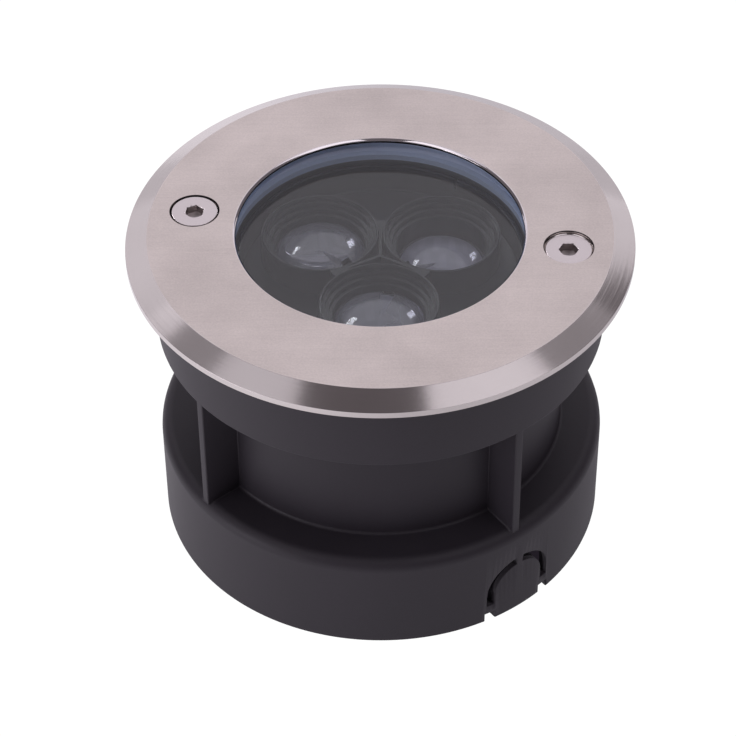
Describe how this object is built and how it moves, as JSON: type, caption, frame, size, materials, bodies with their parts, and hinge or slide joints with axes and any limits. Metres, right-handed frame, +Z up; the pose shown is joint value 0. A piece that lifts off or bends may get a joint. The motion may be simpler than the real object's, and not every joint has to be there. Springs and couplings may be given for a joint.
{
  "type": "in ground well light",
  "caption": "Round in-ground well light: chamfered steel trim ring round a glass window over lensed light cups, in a ribbed black mounting sleeve with a cable skirt.",
  "frame": {"origin": "centre of the mounting sleeve's foot, on the surface it stands on", "axes": "+Z up along the axis of the trim ring and sleeve; +X through the right-hand cover screw, with the left-hand one on -X; -Y is the side nearest the camera in the picture"},
  "size_m": [0.12, 0.12, 0.084],
  "materials": {
    "moulded_black": "fine matt moulding grain",
    "brass": "knurled, plain",
    "satin_steel": "satin stainless, finely brushed",
    "black_rubber": "matt",
    "grey_silicone": "moulded silicone",
    "clear_glass": "polished, toughened",
    "cast_aluminium": "die-cast, as blasted",
    "zinc_steel": "bright zinc",
    "holder_black": "satin moulding",
    "clear_lens": "polished optical plastic",
    "board_white": "white solder mask",
    "pad_grey": "soft silicone",
    "emitter_yellow": "phosphor under clear silicone",
    "lead_red": "extruded",
    "lead_black": "extruded",
    "board_green": "green solder mask",
    "tape_yellow": "wound tape",
    "sleeve_blue": "shrunk sleeve",
    "chip_black": "moulded",
    "terminal_green": "moulded",
    "nickel_brass": "nickel plated",
    "white_nylon": "moulded",
    "screw_steel": "stainless, turned and tumbled"
  },
  "bodies": {
    "sleeve": {"mounting_sleeve": "moulded_black", "threaded_inserts": "brass"},
    "lamp": {"trim_ring": "satin_steel", "glass_gasket": "grey_silicone", "window_glass": "clear_glass", "lamp_body": "cast_aluminium", "ring_fixings": "zinc_steel", "lens_holder": "holder_black", "holder_fixings": "zinc_steel", "lens_left": "clear_lens", "lens_right": "clear_lens", "lens_front": "clear_lens", "light_board": "board_white", "thermal_pad": "pad_grey", "emitter_left": "emitter_yellow", "emitter_right": "emitter_yellow", "emitter_front": "emitter_yellow", "lead_positive": "lead_red", "lead_negative": "lead_black", "driver_board": "board_green", "driver_fixings": "zinc_steel", "transformer": "tape_yellow", "capacitor_input": "sleeve_blue", "capacitor_output": "sleeve_blue", "driver_chip": "chip_black", "terminal_block": "terminal_green", "lower_cover": "cast_aluminium", "cover_seal": "black_rubber", "cover_bolts": "zinc_steel", "gland_body": "nickel_brass", "gland_washer_ring": "black_rubber", "gland_seal": "black_rubber"},
    "right_clip": {"captive_clip_right": "zinc_steel"},
    "right_screw": {"cover_screw_right": "screw_steel"},
    "left_clip": {"captive_clip_left": "zinc_steel"},
    "left_screw": {"cover_screw_left": "screw_steel"},
    "thrust_ring": {"gland_thrust_ring": "white_nylon"},
    "nut": {"gland_nut": "nickel_brass"}
  },
  "joints": [
    {"name": "lamp_lift", "type": "slide", "parent": "sleeve", "child": "lamp", "axis": [0, 0, 1], "range_m": [0, 0.08]},
    {"name": "right_screw_rise", "type": "slide", "parent": "lamp", "child": "right_clip", "axis": [0, 0, 1], "range_m": [0, 0.0061]},
    {"name": "right_screw_turn", "type": "hinge", "parent": "right_clip", "child": "right_screw", "pos_m": [0.0445, 0, 0.08], "axis": [0, 0, 1], "range_deg": [0, 2197]},
    {"name": "left_screw_rise", "type": "slide", "parent": "lamp", "child": "left_clip", "axis": [0, 0, 1], "range_m": [-0.00055, 0.00555]},
    {"name": "left_screw_turn", "type": "hinge", "parent": "left_clip", "child": "left_screw", "pos_m": [-0.0445, 0, 0.08], "axis": [0, 0, 1], "range_deg": [-199, 1999]},
    {"name": "gland_nut_travel", "type": "slide", "parent": "lamp", "child": "thrust_ring", "axis": [0, 0, -1], "range_m": [0, 0.006]},
    {"name": "gland_nut_turn", "type": "hinge", "parent": "thrust_ring", "child": "nut", "pos_m": [0, 0, 0.016], "axis": [0, 0, -1], "range_deg": [0, 1441]}
  ],
  "couplings": [
    {"joint": "right_screw_turn", "follows": "right_screw_rise", "rad_per_m": 6283.2},
    {"joint": "left_screw_turn", "follows": "left_screw_rise", "rad_per_m": 6283.2},
    {"joint": "gland_nut_turn", "follows": "gland_nut_travel", "rad_per_m": 4188.8}
  ]
}
